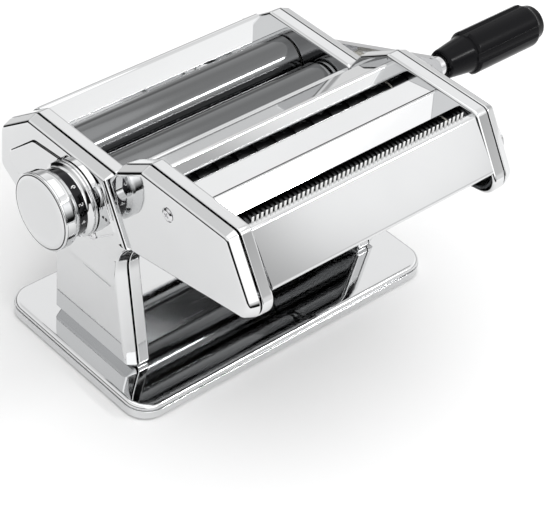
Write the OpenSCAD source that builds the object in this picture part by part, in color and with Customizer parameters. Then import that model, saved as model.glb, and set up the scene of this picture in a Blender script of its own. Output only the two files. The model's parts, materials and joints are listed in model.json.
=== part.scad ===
// Pasta roller machine: sheeting rollers on a two-legged frame with a lift-off double cutter in front.
// Millimetres. +Z up, origin at the middle of the base on the table.
// +X is the crank side, -X the thickness knob side, -Y the cutter side.

/* [Frame] */
// clear width between the side plates
bay = 154; // [150:1:158]
// sheet of the side plates
plate_t = 1.5; // [1.2:0.1:1.8]
// depth of the flange round each side plate
flange_d = 7.7; // [7.5:0.1:8]
// dark groove between flange and end cover
groove = 0.6; // [0.4:0.1:0.8]
// depth of the end cover
cover_d = 6.7; // [6.5:0.1:7.2]
// sheet of the end cover
cover_t = 1.5; // [1.2:0.1:1.6]
// taper of the end cover walls
draft = 2.4; // [1.5:0.1:3]
// height of the raised panel pressed into the end cover
emboss = 0.8; // [0.5:0.1:1]

/* [Base] */
// how far the base tray stands out beyond each end cover
base_out = 14; // [11:1:18]
// depth of the base tray, front to back
base_w = 120; // [116:1:126]
// height of the base top over the table
base_h = 9.6; // [9:0.1:11]
// corner radius of the base tray
base_r = 14; // [10:1:18]
// sheet of the base tray
base_t = 1.2; // [1:0.1:1.5]
// how far the rubber foot frame stands below the rim
foot_gap = 1; // [0.5:0.1:1.5]

/* [Sheeting rollers] */
// diameter of the sheeting rollers
roll_d = 28; // [27.6:0.1:28.2]
// front to back position of the knob axis
knob_y = 12.7; // [12.5:0.1:13]
// height of both sheeting roller axes
axis_z = 102.8; // [102.5:0.1:103]
// eccentric throw that sets the dough gap
throw = 1.3; // [1.2:0.05:1.3]
// dough gap with the rollers at their closest
gap_min = 0.2; // [0.1:0.1:0.4]
// radial running clearance of shafts
run = 0.05; // [0.03:0.01:0.08]

/* [Thickness knob] */
// diameter of the knob face
knob_d = 43.4; // [42:0.2:45]
// length of the knob with its cap
knob_l = 21.6; // [21:0.1:22.4]
// running gap between the index plate and the knob
knob_gap = 0.6; // [0.4:0.1:1]
// settings on the index plate
settings = 6; // [4:1:7]
// turn between two settings
step_a = 30; // [24:1:30]

/* [Crank] */
// crank radius
crank_r = 88.2; // [84:0.2:89]
// rest angle of the crank over the front horizontal
crank_a = 18.7; // [0:0.1:40]
// hex across flats of the crank bit
hex_af = 8; // [7.5:0.1:8.2]
// clearance of the bit in its socket, over the flats
hex_c = 0.2; // [0.1:0.05:0.4]
// gap between the end cover and the grip
grip_out = 19.7; // [19:0.1:22]
// length of the grip
grip_l = 75.5; // [70:0.5:80]
// largest diameter of the grip
grip_d = 25; // [24:0.5:26]

/* [Cutters] */
// diameter of the cutting discs
disc_d = 20; // [19.8:0.1:20.2]
// how far the discs of a pair reach into each other
disc_lap = 0.8; // [0.6:0.1:0.9]
// front to back position of the narrow pair
narrow_y = -88; // [-88.5:0.1:-87.5]
// height of the narrow pair over the sheeting rollers
narrow_up = 21.2; // [20.7:0.1:21.7]
// front to back position of the wide pair
wide_y = -46; // [-46.5:0.1:-45.5]
// height of the wide pair over the sheeting rollers
wide_up = 19.2; // [18.7:0.1:19.7]
// pitch of the narrow discs
narrow_p = 3; // [3:0.5:5]
// pitch of the wide discs
wide_p = 13; // [11:1:15]
// side clearance between interleaved discs
disc_c = 0.1; // [0.08:0.01:0.15]

/* [Hidden] */
$fn = 48;
min_r = 0.3;
xi = bay / 2;
xp = xi + plate_t;
xj = xi + flange_d;
xc = xj + groove;
xf = xc + cover_d;
xs = xf - cover_t;
xe = xf + emboss;
base_l = 2 * (xf + base_out);
axis_gap = roll_d + throw + gap_min;
pair_gap = disc_d - disc_lap;
wide_z = axis_z + wide_up;
narrow_z = axis_z + narrow_up;
roll_y = knob_y + axis_gap;
rest_y = knob_y - throw;
seat = 0.1;
rod_d = 7;
rod_end_d = 4;
rod_c = 0.2;
rod_nut_af = 7;
rod_nut_h = 3.2;
spacer_d = 6;
screw_d = 3;
screw_c = 0.4;
screw_head_d = 7.4;
screw_head_h = 1.1;
boss_d = 6.5;
face_dip = 0.1;
// outline corners are [y, z over the roller axes, radius], anticlockwise seen from the crank side
function up(c) = [for (p = c) p + (len(p) == 3 ? [0, axis_z, 0] : [0, axis_z])];
head = concat([[-32, base_h, 3], [34.3, base_h, 3]], up([
  [34.5, -52.3, 10], [83.5, -24, 8], [83.5, 3.2, 8],
  [58.5, 22.2, 4], [-6.5, 22.2, 3], [-27.5, -13.3, 2], [-16.6, -20.8, 10]
]));
pod = up([
  [-125.9, 3.4, 10], [-28.2, -12.9, 2], [-7.2, 22.6, 2], [-13.6, 32.8, 3],
  [-33.3, 45, 4], [-99.2, 45.4, 5]
]);
panel = up([
  [-17, -6.8, 4], [-2, -18.8, 10], [66, -18.8, 8], [77.5, -12.8, 6], [52, 10.7, 6], [-4, 15.7, 4]
]);
// slide of the cutter: along the slanted front edge of the head
low = [head[7][0], head[7][1]];
high = [head[6][0], head[6][1]];
slant = norm(high - low);
slant_a = atan2(high[1] - low[1], high[0] - low[0]);
rail_x = 45;
rail_gap = 0.3;
guard_in = 3;
pod_off = 0.8;
head_screws = up([[1.9, -18.3], [23.3, 14.2]]);
gear_side_screws = up([[1.9, -24.8], [70, -8.8]]);
pod_screws = up([[-55.5, 30.6]]);
pod_gear_side_screws = up([[-67, 6.7], [-20.5, 16.2]]);
head_rods = up([[70, -16.8], [-12, -10.8]]);
pod_rods = up([[-67, 34.2], [-67, 0.2]]);
gear_w = 6;
gear_gap = 0.4;
roll_teeth = 14;
roll_tooth = [[axis_gap / 2 + 0.75, 1.1], [axis_gap / 2 - 0.55, 2], [axis_gap / 2 - 2.25, 3.2]];
cut_teeth = 12;
cut_tooth = [[pair_gap / 2 + 1, 1.1], [pair_gap / 2, 1.9], [pair_gap / 2 - 1.4, 2.7]];
hub_d = 20;
hub_c = 1.4;
bush_t = 3;
ring_t = 2;
wall_t = 2.5;
bush_rim = 4;
bush_in = 0.5;
bush_out = 1.2;
socket_c = 2.4;
core_d = 14;
neck_d = 12;
tail_d = 9;
jour_d = 14;
idle_d = 10;
cut_jour_d = 13;
cut_wall_t = 1.5;
cut_idle_d = 8;
bit_l = 25;
jour_x = xe - 1.2;
gear_x0 = xp + bush_out + gear_gap;
gear_x1 = gear_x0 + gear_w;
index_t = 1.8;
index_h = 3.2;
index_x1 = xe + index_t;
index_a = -60;
knob_back = xe + index_h + knob_gap;
knob_x = knob_back + knob_l;
cap_t = 1.8;
cap_edge = 0.7;
knob_front = knob_x - cap_t;
knob_floor = 4.4;
knob_web = knob_back + knob_floor;
knob_band = 11.9;
knob_well_d = 17;
spline_af = 9;
pin_r = 14.5;
pin_d = 2.8;
pin_seat = 3;
grip_x = xe + grip_out;
guard_t = 1.2;
hood_t = 1;
comb_t = 1.2;
end_gap = 0.7;
hanger_t = 1.8;
hanger_gap = 0.4;
// small overlap where two solids of one piece are joined
lap = 0.1;

// flat geometry
function turn(a, b) = a[0] * b[1] - a[1] * b[0];
function left(v) = [-v[1], v[0]] / norm(v);
function flat(p) = [p[0], p[1]];
function arc(p, u, w, r, n) =
  let (
    half = acos(u * w) / 2,
    m = p + (u + w) / norm(u + w) * r / sin(half),
    s = p + u * r / tan(half) - m,
    e = p + w * r / tan(half) - m,
    a0 = atan2(s[1], s[0]),
    sw = atan2(turn(s, e), s * e)
  ) [for (k = [0 : n]) m + r * [cos(a0 + sw * k / n), sin(a0 + sw * k / n)]];
// a closed outline with rounded corners, moved inward by d
function outline(c, d = 0, n = 5) =
  let (l = len(c)) [
    for (i = [0 : l - 1])
      let (
        p = flat(c[i]),
        ab = p - flat(c[(i + l - 1) % l]),
        bc = flat(c[(i + 1) % l]) - p,
        m = (left(ab) + left(bc)) / norm(left(ab) + left(bc)),
        q = p + m * d / (m * left(ab)),
        r = max(min_r, c[i][2] - d * sign(turn(ab, bc)))
      ) each arc(q, -ab / norm(ab), bc / norm(bc), r, n)
  ];
// one side of a bent sheet: the path moved to its left by s
function side(p, s) =
  let (l = len(p)) [
    for (i = [0 : l - 1])
      let (
        q = flat(p[i]),
        ab = i > 0 ? q - flat(p[i - 1]) : flat(p[1]) - q,
        bc = i < l - 1 ? flat(p[i + 1]) - q : ab,
        m = (left(ab) + left(bc)) / norm(left(ab) + left(bc)),
        v = q + m * s / (m * left(ab))
      ) [v[0], v[1], i > 0 && i < l - 1 ? max(min_r, p[i][2] - s * sign(turn(ab, bc))) : min_r]
  ];
function back(v) = [for (i = [len(v) - 1 : -1 : 0]) v[i]];
function bent(p, t) = outline(concat(side(p, -t / 2), back(side(p, t / 2))), 0, 4);
function on_slant(s, t) = low + t * [cos(slant_a), sin(slant_a)] + s * [-sin(slant_a), cos(slant_a)];

// turns flat Y Z work so that it is drawn along X
module on_x(x0) {
  translate([x0, 0, 0]) rotate([90, 0, 90]) children();
}
module rod(x0, x1, at, d) {
  on_x(x0) translate([at[0], at[1], 0]) cylinder(h = x1 - x0, d = d);
}
module hex_rod(x0, x1, at, af) {
  on_x(x0) translate([at[0], at[1], 0]) cylinder(h = x1 - x0, d = af / cos(30), $fn = 6);
}
module sheet(p, t, x0, x1) {
  on_x(x0) linear_extrude(x1 - x0) polygon(bent(p, t));
}
module slab(c, d, x0, x1) {
  on_x(x0) linear_extrude(x1 - x0) polygon(outline(c, d));
}
module other_side() {
  mirror([1, 0, 0]) children();
}
// tapered solid between two copies of an outline
module taper(c, h0, d0, h1, d1, n = 5) {
  a = outline(c, d0, n);
  b = outline(c, d1, n);
  l = len(a);
  polyhedron(
    points = concat([for (v = a) [v[0], v[1], h0]], [for (v = b) [v[0], v[1], h1]]),
    faces = concat(
      [[for (i = [0 : l - 1]) i]],
      [[for (i = [l - 1 : -1 : 0]) l + i]],
      [for (i = [0 : l - 1]) [i, l + i, l + (i + 1) % l, (i + 1) % l]]
    )
  );
}
// sloping wall of sheet t that follows an outline, open at both ends
module skirt(c, h0, d0, h1, d1, t, n = 5) {
  rings = [[d0, h0], [d1, h1], [d1 + t, h1], [d0 + t, h0]];
  l = len(c) * (n + 1);
  polyhedron(
    points = [for (k = rings) for (v = outline(c, k[0], n)) [v[0], v[1], k[1]]],
    faces = [for (k = [0 : 3]) for (i = [0 : l - 1])
      [k * l + i, (k + 1) % 4 * l + i, (k + 1) % 4 * l + (i + 1) % l, k * l + (i + 1) % l]]
  );
}
// pressed cover: a drafted wall closed by a flat face, which lies a hair below the wall's edge
module pressed_cover(c) {
  on_x(0) skirt(c, xc, 0, xf, draft, cover_t);
  slab(c, draft + cover_t / 2, xs, xf - face_dip);
}
// a tooth is [radius, width] at the tip, the pitch line and the root
module gear(at, teeth, tooth, phase, bore) {
  root = tooth[2];
  on_x(gear_x0) translate([at[0], at[1], 0]) linear_extrude(gear_x1 - gear_x0) difference() {
    union() {
      circle(r = root[0] + lap, $fn = 72);
      for (i = [0 : teeth - 1]) rotate(phase + i * 360 / teeth) polygon(concat(
        [for (v = tooth) [v[0], v[1] / 2]],
        [[0, root[1] / 2], [0, -root[1] / 2]],
        [for (v = back(tooth)) [v[0], -v[1] / 2]]
      ));
    }
    circle(d = bore);
  }
}

// base
base_screw_y = [-20, 22];
base_screw_d = 4;
base_nut_af = 5.4;
base_nut_h = 2.6;
base_head_d = 7.5;
base_head_h = 2;
base_screw_x = xp + base_nut_af / cos(30) / 2 + 0.2;
hole_c = 0.4;
rim_h = 6;
line_h = 0.6;
line_in = 0.9;
lip_h = 0.5;
lip_in = 0.4;
edge_in = 2.6;
base_wall = 2.9;
foot_in = 3.4;
foot_w = 6;
function base_c() = [
  [-base_l / 2, -base_w / 2, base_r], [base_l / 2, -base_w / 2, base_r],
  [base_l / 2, base_w / 2, base_r], [-base_l / 2, base_w / 2, base_r]
];
module base_tray() {
  line_z = foot_gap + rim_h;
  color("silver") difference() {
    union() {
      translate([0, 0, foot_gap]) linear_extrude(rim_h) polygon(outline(base_c(), 0, 8));
      translate([0, 0, line_z - lap]) linear_extrude(line_h + 2 * lap) polygon(outline(base_c(), line_in, 8));
      translate([0, 0, line_z + line_h]) linear_extrude(lip_h + lap) polygon(outline(base_c(), lip_in, 8));
      taper(base_c(), line_z + line_h + lip_h, lip_in, base_h, edge_in, 8);
    }
    linear_extrude(base_h - base_t) polygon(outline(base_c(), base_wall, 8));
    for (x = [-1, 1]) for (y = base_screw_y) translate([x * base_screw_x, y, 0])
      cylinder(h = base_h + 1, d = base_screw_d + hole_c);
  }
}
module foot_frame() {
  color("dimgray") linear_extrude(base_h - base_t) difference() {
    polygon(outline(base_c(), foot_in, 8));
    polygon(outline(base_c(), foot_in + foot_w, 8));
  }
}
module base_fasteners() {
  color("gainsboro") for (x = [-1, 1]) for (y = base_screw_y) translate([x * base_screw_x, y, 0]) {
    translate([0, 0, base_h - base_t - base_head_h]) cylinder(h = base_head_h, d = base_head_d);
    translate([0, 0, base_h - base_t]) cylinder(h = base_t + plate_t + base_nut_h + 0.6, d = base_screw_d);
    translate([0, 0, base_h + plate_t]) cylinder(h = base_nut_h, d = base_nut_af / cos(30), $fn = 6);
  }
}

// head frame
module side_plate_blank() {
  difference() {
    slab(head, 0, xi, xj);
    slab(head, plate_t, xp, xj + 1);
    for (p = head_rods) rod(xi - 1, xp + 1, p, rod_end_d + rod_c);
    for (y = base_screw_y) translate([base_screw_x, y, base_h - 1])
      cylinder(h = plate_t + 2, d = base_screw_d + hole_c);
  }
}
module left_side_plate() {
  color("lightgray") other_side() difference() {
    side_plate_blank();
    rod(xi - 1, xp + 1, [roll_y, axis_z], idle_d + 2 * bush_t);
    rod(xi - 1, xp + 1, [knob_y, axis_z], core_d + 2 * ring_t);
    for (p = head_screws) rod(xi - 1, xp + 1, p, screw_d);
  }
}
module right_side_plate() {
  color("lightgray") difference() {
    side_plate_blank();
    rod(xi - 1, xp + 1, [roll_y, axis_z], jour_d + 2 * wall_t);
    rod(xi - 1, xp + 1, [knob_y, axis_z], hub_d + 2 * throw + 2 * hub_c);
    for (p = gear_side_screws) rod(xi - 1, xp + 1, p, screw_d);
  }
}
knob_hole_d = 24;
cap_bush_d = 15;
module end_cover_blank() {
  pressed_cover(head);
  slab(panel, 0, xf - 0.7, xe);
}
module left_end_cover() {
  color("whitesmoke") other_side() difference() {
    end_cover_blank();
    rod(xc, xe + 1, [knob_y, axis_z], knob_hole_d);
    for (p = head_screws) rod(xs - 1, xe + 1, p, screw_d + screw_c);
    rod(xf, xe + 1, head_screws[1], screw_head_d + screw_c);
  }
}
module right_end_cover() {
  color("whitesmoke") difference() {
    end_cover_blank();
    rod(xc, xe + 1, [roll_y, axis_z], jour_d + socket_c);
    rod(xc, xe + 1, [knob_y, axis_z], cap_bush_d);
    for (p = gear_side_screws) rod(xs - 1, xe + 1, p, screw_d + screw_c);
  }
}
screw_reach = 6;
cross_l = 4.2;
cross_w = 0.9;
cross_h = 0.7;
module cross_screw(p, x) {
  difference() {
    union() {
      rod(x, x + screw_head_h, p, screw_head_d);
      rod(xs - screw_reach, x + lap, p, screw_d);
    }
    on_x(x + screw_head_h - cross_h) translate([p[0], p[1], cross_h]) rotate(20) {
      cube([cross_l, cross_w, 2 * cross_h], center = true);
      cube([cross_w, cross_l, 2 * cross_h], center = true);
    }
  }
}
module end_cover_screws() {
  color("gainsboro") {
    other_side() cross_screw(head_screws[0], xe);
    other_side() cross_screw(head_screws[1], xf);
    cross_screw(gear_side_screws[0], xf);
    cross_screw(gear_side_screws[1], xe);
  }
}
module standoff(p) {
  difference() {
    rod(xp, xs, p, boss_d);
    rod(xp - 1, xs + 1, p, screw_d + 2 * run);
  }
}
module cover_standoffs() {
  color("darkgray") {
    for (p = head_screws) other_side() standoff(p);
    for (p = gear_side_screws) standoff(p);
  }
}
// bent sheets are paths of [y, z over the roller axes, bend radius]
rear_guard_path = up([
  [57.6, 6.8, 1], [68, 16.4, 2.5], [71.5, 11.6, 2], [80.6, 1.6, 5], [80.6, -16.8, 2], [77.6, -19.4, 1]
]);
guard_lip = [0.8, axis_z + 12.4, 1];
guard_foot = [5, -3];
guard_end = 1;
guard_bend = 2;
module rear_guard() {
  color("whitesmoke") sheet(rear_guard_path, guard_t, -xi, xi);
}
module front_guard() {
  a = on_slant(-guard_in - guard_t / 2, guard_end);
  b = on_slant(-guard_in - guard_t / 2, slant - guard_end);
  color("whitesmoke") sheet([
    guard_lip, [b[0], b[1], guard_bend], [a[0], a[1], guard_bend],
    [a[0] + guard_foot[0], a[1] + guard_foot[1], guard_end]
  ], guard_t, -xi, xi);
}
module tie_rods() {
  color("silver") for (p = head_rods) {
    rod(-xi, xi, p, rod_d);
    rod(-xp - rod_nut_h - 0.8, xp + rod_nut_h + 0.8, p, rod_end_d);
  }
}
module tie_rod_nuts() {
  color("gainsboro") for (s = [0, 1]) for (p = head_rods) mirror([s, 0, 0]) difference() {
    hex_rod(xp, xp + rod_nut_h, p, rod_nut_af);
    rod(xp - 1, xp + rod_nut_h + 1, p, rod_end_d + 2 * run);
  }
}
module flanged_bush(at, bore, t, rim = bush_rim) {
  difference() {
    union() {
      rod(xi - bush_in, xi, at, bore + 2 * t + rim);
      rod(xi - bush_in, xp + bush_out, at, bore + 2 * t);
    }
    rod(xi - 1, xp + bush_out + 1, at, bore + 2 * run);
  }
}
module roller_bushings() {
  color("goldenrod") {
    flanged_bush([roll_y, axis_z], jour_d, wall_t);
    other_side() flanged_bush([roll_y, axis_z], idle_d, bush_t);
  }
}
module regulator_bushings() {
  color("goldenrod") {
    other_side() difference() {
      rod(xi, xp + bush_t, [knob_y, axis_z], core_d + 2 * ring_t);
      rod(xi - 1, xp + bush_t + 1, [knob_y, axis_z], neck_d + 2 * run);
    }
    difference() {
      union() {
        rod(xs - ring_t, xs, [knob_y, axis_z], cap_bush_d + bush_rim);
        rod(xs, xe + bush_out, [knob_y, axis_z], cap_bush_d);
      }
      rod(xs - bush_t, xe, [knob_y, axis_z], tail_d + 2 * run);
    }
  }
}
index_bore = 20;
index_rim = 2.4;
pin_c = 0.6;
module index_plate() {
  at = [knob_y, axis_z];
  color("silver") other_side() difference() {
    union() {
      rod(xe, index_x1, at, knob_d - 1);
      difference() {
        rod(index_x1 - lap, xe + index_h, at, knob_d - 1);
        rod(xe, xe + index_h + 1, at, knob_d - 1 - index_rim);
      }
    }
    rod(xe - 1, xe + index_h + 1, at, index_bore);
    for (i = [0 : settings - 1]) on_x(xe - 1) translate([at[0], at[1], 0])
      rotate(index_a - i * step_a) translate([pin_r, 0, 0]) cylinder(h = index_h + 2, d = pin_d + pin_c);
    for (p = head_screws) rod(xe - 1, xe + index_h + 1, p, screw_head_d + 1);
  }
}
bezel_d = 26;
bezel_t = 1.6;
module crank_bezel() {
  color("silver") difference() {
    rod(xe, xe + bezel_t, [roll_y, axis_z], bezel_d);
    rod(xe - 1, xe + bezel_t + 1, [roll_y, axis_z], jour_d + socket_c);
  }
}
// scraper sections are points from the axis of their roller
fixed_blade = [[4.9, -13.6], [17.6, -22.8], [18.4, -21.8], [5.9, -13.3]];
swing_blade = [[-4.9, -13.6], [-5.9, -13.3], [-15, -20.4], [-14.2, -21.4]];
hanger_arm = [[-12, 0], [-14.5, -22], [-3.4, -16], [3, -11]];
function about(at, v) = [for (p = v) [at[0] + p[0], at[1] + p[1]]];
module fixed_scraper() {
  color("gainsboro") on_x(-xi) linear_extrude(2 * xi) polygon(about([roll_y, axis_z], fixed_blade));
}
module slant_block(s0, s1, t0, t1, x, w) {
  on_x(x - w / 2) linear_extrude(w) polygon([
    on_slant(s0, t0), on_slant(s1, t0), on_slant(s1, t1), on_slant(s0, t1)
  ]);
}
// T rail: foot, neck and head widths, head depth, and where it runs along the slant
rail_foot_w = 18;
rail_neck_w = 6;
rail_head_w = 12;
rail_foot_t = 0.8;
rail_head_s = 1.6;
rail_low = 4;
rail_top = 33;
rail_end = 3;
rail_stop_t = 1.2;
rail_stop_w = 16;
hook_low = 6;
hook_top = 29;
hook_w = 16.6;
module cutter_rails() {
  neck = lap + 0.1;
  color("silver") for (x = [-rail_x, rail_x]) {
    slant_block(-guard_in, -guard_in + rail_foot_t, rail_low, rail_top + rail_end, x, rail_foot_w);
    slant_block(-guard_in + rail_foot_t - lap, lap, rail_low, rail_top, x, rail_neck_w);
    slant_block(-neck, rail_head_s, rail_low + lap, rail_top, x, rail_head_w);
    slant_block(
      -guard_in + rail_foot_t - lap, rail_head_s + lap, rail_low + lap, rail_low + rail_stop_t, x, rail_stop_w
    );
  }
}

// sheeting rollers
module drive_roller() {
  at = [roll_y, axis_z];
  color("silver") difference() {
    union() {
      rod(-xi + end_gap, xi - end_gap, at, roll_d);
      rod(-xp - ring_t, -xi + end_gap + lap, at, idle_d);
      rod(xi - end_gap - lap, jour_x, at, jour_d);
    }
    hex_rod(jour_x - bit_l, jour_x + 1, at, hex_af + hex_c);
    rod(jour_x - 1, jour_x + 1, at, hex_af / cos(30) + 4 * hex_c);
  }
}
module drive_gear() {
  color("goldenrod") gear([roll_y, axis_z], roll_teeth, roll_tooth, 180 / roll_teeth, jour_d);
}
roll_x = xi - end_gap - hanger_gap - hanger_t - 0.5;
module adjustable_roller() {
  at = [rest_y, axis_z];
  color("silver") difference() {
    union() {
      rod(-roll_x, roll_x, at, roll_d);
      rod(roll_x - lap, gear_x1 + 0.3, at, hub_d);
    }
    rod(-xi, gear_x1 + 1, at, core_d + 2 * run);
  }
}
module adjustable_gear() {
  color("goldenrod") gear([rest_y, axis_z], roll_teeth, roll_tooth, 0, hub_d);
}
module regulator_shaft() {
  at = [knob_y, axis_z];
  color("silver") difference() {
    union() {
      rod(-xi + end_gap, gear_x1 + 0.8, [rest_y, axis_z], core_d);
      rod(-xe - 0.4, -xi + end_gap + lap, at, neck_d);
      hex_rod(-knob_front + washer_x + washer_t, -xe, at, spline_af);
      rod(gear_x1 + 0.7, xe - 0.3, at, tail_d);
    }
    rod(-knob_front, -knob_front + knob_screw_l + 1, at, rod_end_d);
  }
}
// screw with its washer, which the knob spring pushes against
washer_x = 2.2;
washer_t = 1.2;
washer_d = 14;
knob_screw_d = 7.5;
knob_screw_l = 11;
screw_head_z = 1.6;
wire_d = 0.9;
coil_r = 6.4;
coils = 6;
module knob_screw() {
  at = [knob_y, axis_z];
  color("gainsboro") difference() {
    union() {
      rod(-knob_front + washer_x, -knob_front + washer_x + washer_t, at, washer_d);
      rod(-knob_front + washer_x - screw_head_z, -knob_front + washer_x + lap, at, knob_screw_d);
      rod(-knob_front + washer_x + washer_t - lap, -knob_front + knob_screw_l, at, rod_end_d - 2 * run);
    }
    on_x(-knob_front) translate([at[0], at[1], washer_x - screw_head_z])
      cube([cross_l, cross_w, 2 * cross_h], center = true);
  }
}
module knob_spring() {
  l = knob_front - washer_x - washer_t - knob_web - 2 * seat - wire_d;
  color("darkgray") translate([-knob_web - seat - wire_d / 2 - l, knob_y, axis_z])
    for (k = [0 : coils - 1]) translate([l * (k + 0.5) / coils, 0, 0])
      rotate([0, 90, 0]) rotate_extrude($fn = 32) translate([coil_r, 0]) circle(d = wire_d, $fn = 12);
}
band_in = 2.2;
spline_c = 0.2;
knob_relief = 2.6;
knob_relief_d = 22;
module thickness_knob() {
  at = [knob_y, axis_z];
  color("silver") other_side() difference() {
    union() {
      rod(knob_back, knob_back + 1, at, knob_d - 1);
      rod(knob_back + 1 - lap, knob_back + knob_band, at, knob_d - band_in);
      rod(knob_back + knob_band - lap, knob_front, at, knob_d);
    }
    hex_rod(knob_back - 1, knob_web + 1, at, spline_af + spline_c);
    rod(knob_web, knob_front + 1, at, knob_well_d);
    rod(knob_back - 1, knob_back + knob_relief, at, knob_relief_d);
    pin_at(knob_back - 1, pin_seat + 1);
  }
}
cap_in = 3.2;
dish = 0.5;
dish_d = 31.4;
module knob_cap() {
  at = [knob_y, axis_z];
  color("whitesmoke") other_side() difference() {
    union() {
      rod(knob_front, knob_front + cap_edge, at, knob_d);
      on_x(knob_front + cap_edge - lap) translate([at[0], at[1], 0])
        cylinder(h = cap_t - cap_edge + lap, d1 = knob_d - lip_in, d2 = knob_d - cap_in);
    }
    on_x(knob_x - dish) translate([at[0], at[1], 0]) cylinder(h = 4 * dish, d1 = dish_d, d2 = knob_d - 4);
  }
}
// the pin points at the first hole of the index plate and stops short of it
module pin_at(x0, l) {
  on_x(x0) translate([knob_y, axis_z, 0]) rotate(index_a) translate([pin_r, 0, 0]) cylinder(h = l, d = pin_d);
}
module locating_pin() {
  color("gainsboro") other_side() pin_at(index_x1 + rail_gap, knob_back + pin_seat - index_x1 - rail_gap);
}
hanger_d = 25;
hanger_x = xi - end_gap - hanger_gap - hanger_t;
module hanger(x0, bore) {
  difference() {
    union() {
      rod(x0, x0 + hanger_t, [rest_y, axis_z], hanger_d);
      on_x(x0) linear_extrude(hanger_t) polygon(about([rest_y, axis_z], hanger_arm));
    }
    rod(x0 - 1, x0 + hanger_t + 1, [rest_y, axis_z], bore + 2 * run);
  }
}
module scraper_hangers() {
  color("gainsboro") {
    hanger(-hanger_x - hanger_t, core_d);
    hanger(hanger_x, hub_d);
  }
}
module swing_scraper() {
  color("gainsboro") on_x(-hanger_x) linear_extrude(2 * hanger_x)
    polygon(about([rest_y, axis_z], swing_blade));
}

// crank
crank_at = [roll_y, axis_z];
grip_at = crank_at + crank_r * [-cos(crank_a), sin(crank_a)];
arm_w = 10;
arm_t = 4;
arm_gap = 4.6;
boss_x = 2.2;
boss_l = 6.8;
crank_boss_d = 15;
end_disc_d = 12;
rivet_d = 5;
grip_pin_short = 8;
ferrule_l = 2.6;
grip_pin_d = 7;
module crank_shaft() {
  color("silver") {
    hex_rod(jour_x - bit_l + 1, xe + boss_x + lap, crank_at, hex_af);
    rod(xe + boss_x, xe + boss_x + boss_l, crank_at, crank_boss_d);
  }
}
module crank_arm() {
  x0 = xe + boss_x + 1.8;
  x1 = grip_x - arm_gap;
  lean = atan2(x1 - x0, crank_r);
  l = crank_r / cos(lean);
  color("silver") difference() {
    union() {
      translate([x0, crank_at[0], crank_at[1]]) rotate([-crank_a, 0, 0]) rotate([0, 0, lean])
        translate([0, -l, -arm_w / 2]) cube([arm_t, l - arm_w / 2, arm_w]);
      rod(x1, x1 + arm_t, grip_at, end_disc_d);
    }
    rod(xe, x1 + arm_w, crank_at, crank_boss_d);
    rod(xe, x1 + arm_w, grip_at, rivet_d);
  }
}
module grip_pin() {
  color("silver") {
    rod(grip_x - arm_gap + arm_t, grip_x + grip_l - grip_pin_short, grip_at, grip_pin_d);
    rod(grip_x - arm_gap, grip_x - arm_gap + arm_t + lap, grip_at, rivet_d);
  }
}
module grip_ferrule() {
  color("silver") difference() {
    rod(grip_x + 2 * lap, grip_x + ferrule_l, grip_at, end_disc_d);
    rod(grip_x - 1, grip_x + ferrule_l + 1, grip_at, grip_pin_d);
  }
}
// grip section: [radius, distance from the near end], then [radius, distance from the far end]
grip_start = [[8, 0], [8.7, 1], [10.6, 17.5], [11.2, 18.5]];
grip_end = [[11.4, 9], [10.8, 5], [9.3, 2], [7, 0.6], [4, 0]];
lobe_x = 18;
lobe_w = 13;
well_l = 5;
module crank_grip() {
  color([0.08, 0.08, 0.08]) translate([0, grip_at[0], grip_at[1]]) rotate([0, 90, 0]) difference() {
    union() {
      rotate_extrude($fn = 64) polygon(concat(
        [[0, grip_x]], [for (v = grip_start) [v[0], grip_x + v[1]]],
        [for (v = grip_end) [v[0], grip_x + grip_l - v[1]]], [[0, grip_x + grip_l]]
      ));
      for (i = [0 : 3]) rotate(i * 90 + 30) translate([0, 0, grip_x + lobe_x]) intersection() {
        cylinder(h = grip_l - lobe_x - grip_pin_short, d = grip_d);
        translate([0, -lobe_w / 2, 0]) cube([grip_d, lobe_w, grip_l]);
      }
    }
    translate([0, 0, grip_x - 1]) cylinder(h = well_l + 1, d = end_disc_d + 1);
    translate([0, 0, grip_x]) cylinder(h = grip_l - grip_pin_short + 1, d = grip_pin_d + 2 * run);
  }
}

// cutter pod
module pod_plate_blank() {
  difference() {
    slab(pod, 0, xi, xj);
    slab(pod, plate_t, xp, xj + 1);
    for (p = pod_rods) rod(xi - 1, xp + 1, p, rod_end_d + rod_c);
  }
}
cutter_axes = [
  [wide_y - pair_gap / 2, wide_z], [wide_y + pair_gap / 2, wide_z],
  [narrow_y - pair_gap / 2, narrow_z], [narrow_y + pair_gap / 2, narrow_z]
];
module cutter_left_plate() {
  color("lightgray") other_side() difference() {
    pod_plate_blank();
    for (p = cutter_axes) rod(xi - 1, xp + 1, p, cut_idle_d + 2 * ring_t);
    for (p = pod_screws) rod(xi - 1, xp + 1, p, screw_d);
  }
}
module cutter_right_plate() {
  color("lightgray") difference() {
    pod_plate_blank();
    for (p = cutter_axes) rod(xi - 1, xp + 1, p, cut_jour_d + 2 * cut_wall_t);
    for (p = pod_gear_side_screws) rod(xi - 1, xp + 1, p, screw_d);
  }
}
dimple = [-19.8, axis_z + 24.4];
dimple_w = 8.8;
dimple_h = 14.4;
dimple_t = 1.1;
dimple_deep = 3;
function stadium(w, h) = [
  [dimple[0] - w / 2, dimple[1] - h / 2, w / 2 - 0.1], [dimple[0] + w / 2, dimple[1] - h / 2, w / 2 - 0.1],
  [dimple[0] + w / 2, dimple[1] + h / 2, w / 2 - 0.1], [dimple[0] - w / 2, dimple[1] + h / 2, w / 2 - 0.1]
];
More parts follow.
